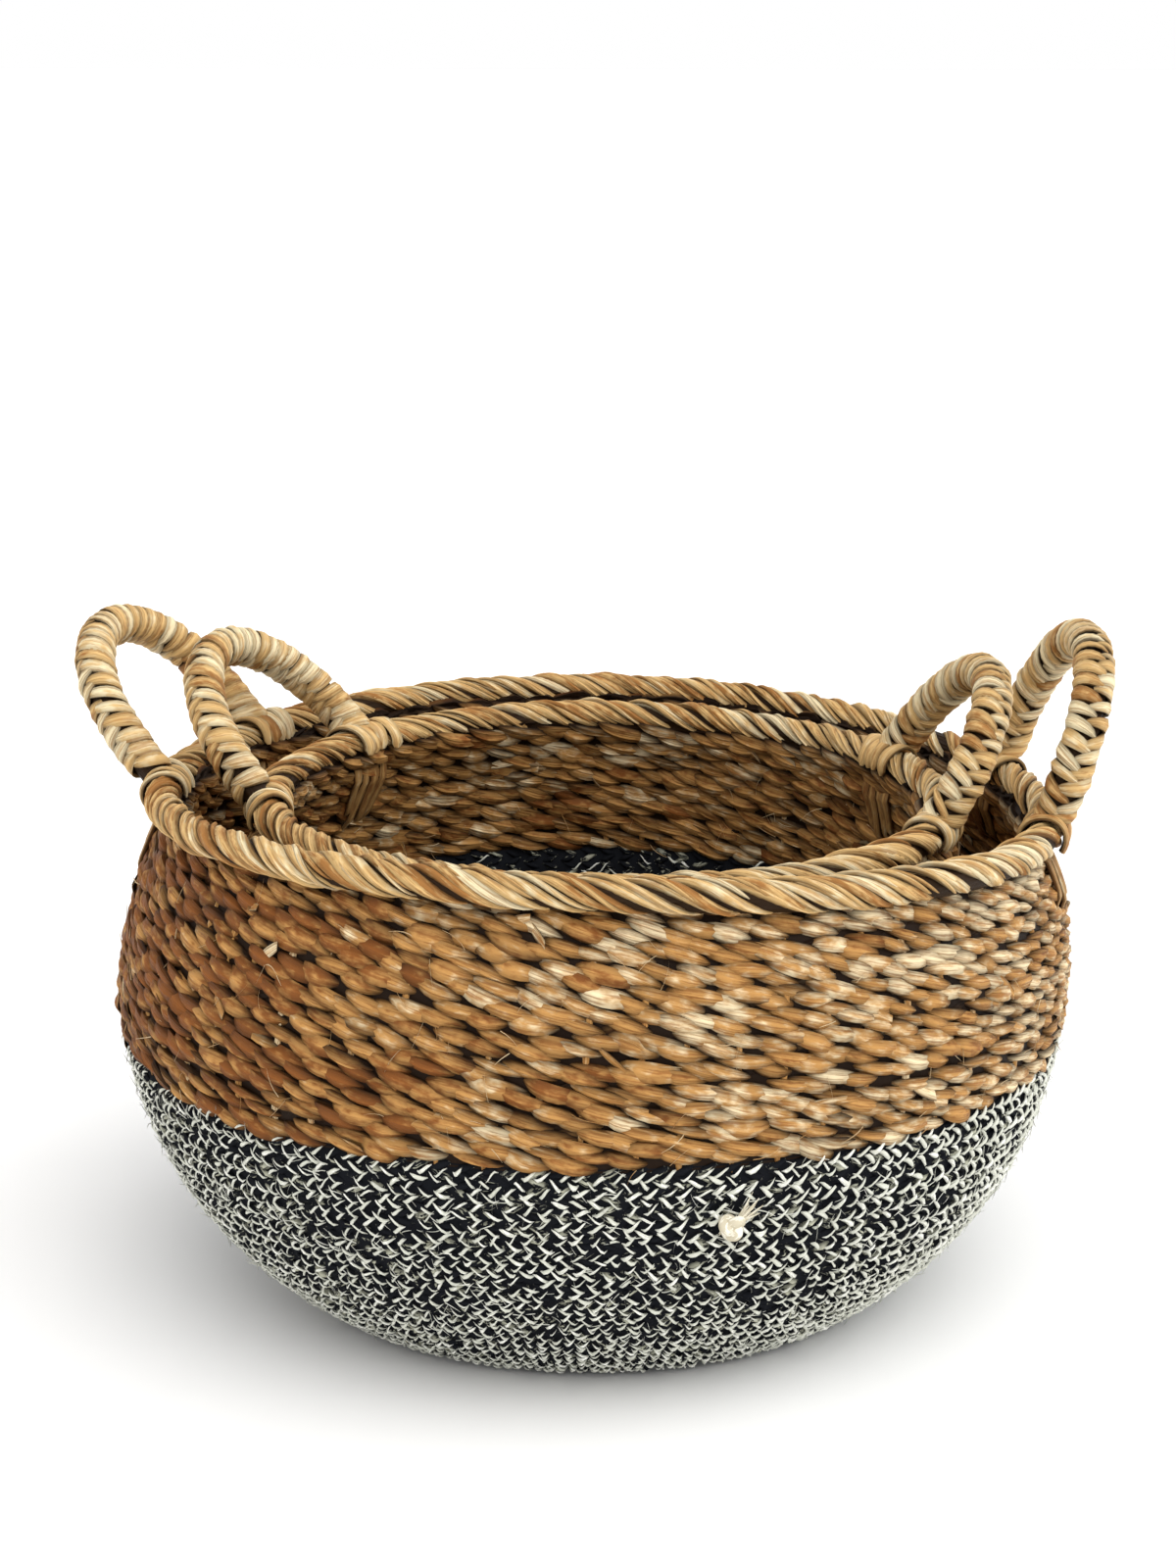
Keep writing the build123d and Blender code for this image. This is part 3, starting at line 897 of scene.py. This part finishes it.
tail_grass = grass_material(
    "tail_seagrass",
    shade_colour=(0.05, 0.018, 0.005),
    brown=(0.24, 0.10, 0.03),
    golden=(0.46, 0.26, 0.09),
    pale=(0.74, 0.60, 0.37),
    paleness=0.0,
)


def foot_angles(handle):
    """The angles of a handle's two feet, the front one first."""
    ends = [radians(handle["middle"] + side * handle["half"]) for side in (-1, 1)]
    return ends if handle["middle"] < 90 else ends[::-1]


def lash_foot(form, foot, rng):
    """The binding of one foot: leaves that go over the rope in the shape of a C."""
    strands = Strands()
    for leaf in range(LASHING_LEAVES):
        across = (leaf - (LASHING_LEAVES - 1) / 2) * LASHING_PITCH + rng.normal(0, 0.0004)
        sweep = np.radians(np.linspace(-34 + rng.uniform(-3, 3), 192 + rng.uniform(-4, 4), 20))
        skew = rng.normal(0.0018, 0.0016) * np.cos(sweep)
        around = foot + (across + skew) / form.rim_radius
        outward = np.stack((np.cos(around), np.sin(around), 0 * around), 1)
        upward = np.broadcast_to(np.array((0.0, 0.0, 1.0)), outward.shape)
        forward = np.cross(upward, outward)
        spoke = outward * np.cos(sweep)[:, None] + upward * np.sin(sweep)[:, None]
        reach = LASHING_REACH + rng.uniform(0, 0.0006) + 0.0003 * np.sin(3 * sweep + rng.uniform(0, tau))
        middle = outward * form.rim_radius + np.array((0, 0, form.rim_height)) + spoke * reach[:, None]
        width = 0.0038 * (1 + 0.15 * np.sin(2 * sweep + rng.uniform(0, tau)))
        width[[0, -1]] *= 0.5
        tone = np.clip(rng.normal(0.5, 0.22), 0, 1)
        lay_leaf(strands, middle, forward, spoke, width, np.full(20, 0.0012), tone, np.zeros(20), rng)
    return strands


def lay_tails(strands, form, foot, rng):
    """The tails below one foot: leaves that lie down the outside and the inside of the wall."""
    for leaf in range(LASHING_LEAVES):
        across = (leaf - (LASHING_LEAVES - 1) / 2) * LASHING_PITCH * 0.85
        for face in (1, -1):
            low = form.rim_height - TAIL_DEPTH + rng.uniform(-0.004, 0.003)
            rise = np.linspace(arc_angle(form, form.top), arc_angle(form, low), 12)
            drift = rng.normal(0, 0.0025) * np.linspace(0, 1, 12) ** 2
            around = foot + (across + drift) / form.rim_radius
            ground, outward, upward = wall_ground(form, rise, around)
            tuck = np.clip(np.linspace(0, 6, 12), 0, 1) * np.clip(np.linspace(5, 0, 12), 0, 1)
            out = face * (0.0026 + (0.0028 + rng.uniform(0, 0.0006)) * tuck)
            middle = ground + outward * out[:, None]
            width = 0.0027 * (1 + 0.12 * np.sin(rise * 40 + rng.uniform(0, tau)))
            width[-1] *= 0.4
            forward = np.cross(upward, outward)
            depth = np.full(12, 0.0011)
            tone = np.clip(rng.normal(0.45, 0.22), 0, 1)
            lay_leaf(strands, middle, forward, outward * face, width, depth, tone, np.zeros(12), rng)


for name, handle in HANDLES.items():
    form = handle["form"]
    rng = np.random.default_rng(60 + list(HANDLES).index(name))
    tails = Strands()
    for place, foot in zip(("front", "back"), foot_angles(handle)):
        piece = lash_foot(form, foot, rng).mesh_object(f"{name}_{place}_binding", form, True)
        finish_piece(piece, rim_grass, f"{name}_handle", "straw", f"{name}_{place}_lashing")
        lay_tails(tails, form, foot, rng)
    piece = tails.mesh_object(f"{name}_binding_tails", form, True)
    finish_piece(piece, tail_grass, form.body, "straw", f"{name}_lashing_tails")


# --- Cloth tie ------------------------------------------------------------------------------------
# A scrap of cream cotton knotted into the yarn near the front, with frayed ends.
KNOT_SIZE = 0.0016
CLOTH_SAMPLES = 72

cotton = yarn_material("cotton_cloth", dark=(0.62, 0.56, 0.42), cream=(0.88, 0.84, 0.72))
low_corner, high_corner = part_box("cloth_tie_knot")
knot_centre = np.array((low_corner + high_corner) / 2)
rng = np.random.default_rng(71)
knot_out = np.array((knot_centre[0], knot_centre[1], 0.0))
knot_out /= np.linalg.norm(knot_out)
knot_up = np.array((0.0, 0.0, 1.0))
knot_side = np.cross(knot_up, knot_out)
strands = Strands()
round_knot = tau * np.arange(CLOTH_SAMPLES) / CLOTH_SAMPLES
middle = (
    knot_centre - knot_out * 0.0012
    + knot_side * (KNOT_SIZE * (np.sin(round_knot) + 2 * np.sin(2 * round_knot)) * 0.72)[:, None]
    + knot_up * (KNOT_SIZE * (np.cos(round_knot) - 2 * np.cos(2 * round_knot)) * 0.72)[:, None]
    - knot_out * (KNOT_SIZE * np.sin(3 * round_knot))[:, None]
)
ahead = np.roll(middle, -1, 0) - np.roll(middle, 1, 0)
ahead /= np.linalg.norm(ahead, axis=1)[:, None]
side = np.cross(ahead, knot_out)
side /= np.linalg.norm(side, axis=1)[:, None]
face = np.cross(side, ahead)
rings = leaf_rings(middle, side, face, np.full(CLOTH_SAMPLES, 0.0024), np.full(CLOTH_SAMPLES, 0.0019), 8)
strands.add(rings, round_knot * 0.006, np.full(CLOTH_SAMPLES, 0.7), np.zeros(CLOTH_SAMPLES), closed=True)
for thread in range(26):
    reach = rng.uniform(0.004, 0.011) if thread % 3 else rng.uniform(0.001, 0.003)
    heading = rng.normal(0.75, 0.22) if thread % 3 else rng.uniform(3.4, 4.4)
    step = np.linspace(0, 1, 6)
    path = (
        knot_centre
        + knot_side * (cos(heading) * (0.003 + reach * step))[:, None]
        + knot_up * (sin(heading) * (0.003 + reach * step) + rng.normal(0, 0.0012) * step**2)[:, None]
        - knot_out * (0.001 + 0.0025 * step - rng.uniform(0, 0.003) * step)[:, None]
    )
    width = rng.uniform(0.0003, 0.0007) * np.array((0.9, 1, 1, 0.9, 0.7, 0.3))
    aside = np.broadcast_to(knot_side * sin(heading) - knot_up * cos(heading), path.shape)
    front = np.broadcast_to(knot_out, path.shape)
    rings = leaf_rings(path, aside, front, width, width * 0.6, 4)
    strands.add(rings, step * reach, np.full(6, rng.uniform(0.5, 1)), np.zeros(6), closed=False)
piece = strands.mesh_object("cloth_tie_cotton", LARGE)
finish_piece(piece, cotton, "large_basket", "cloth", "cloth_tie_knot")
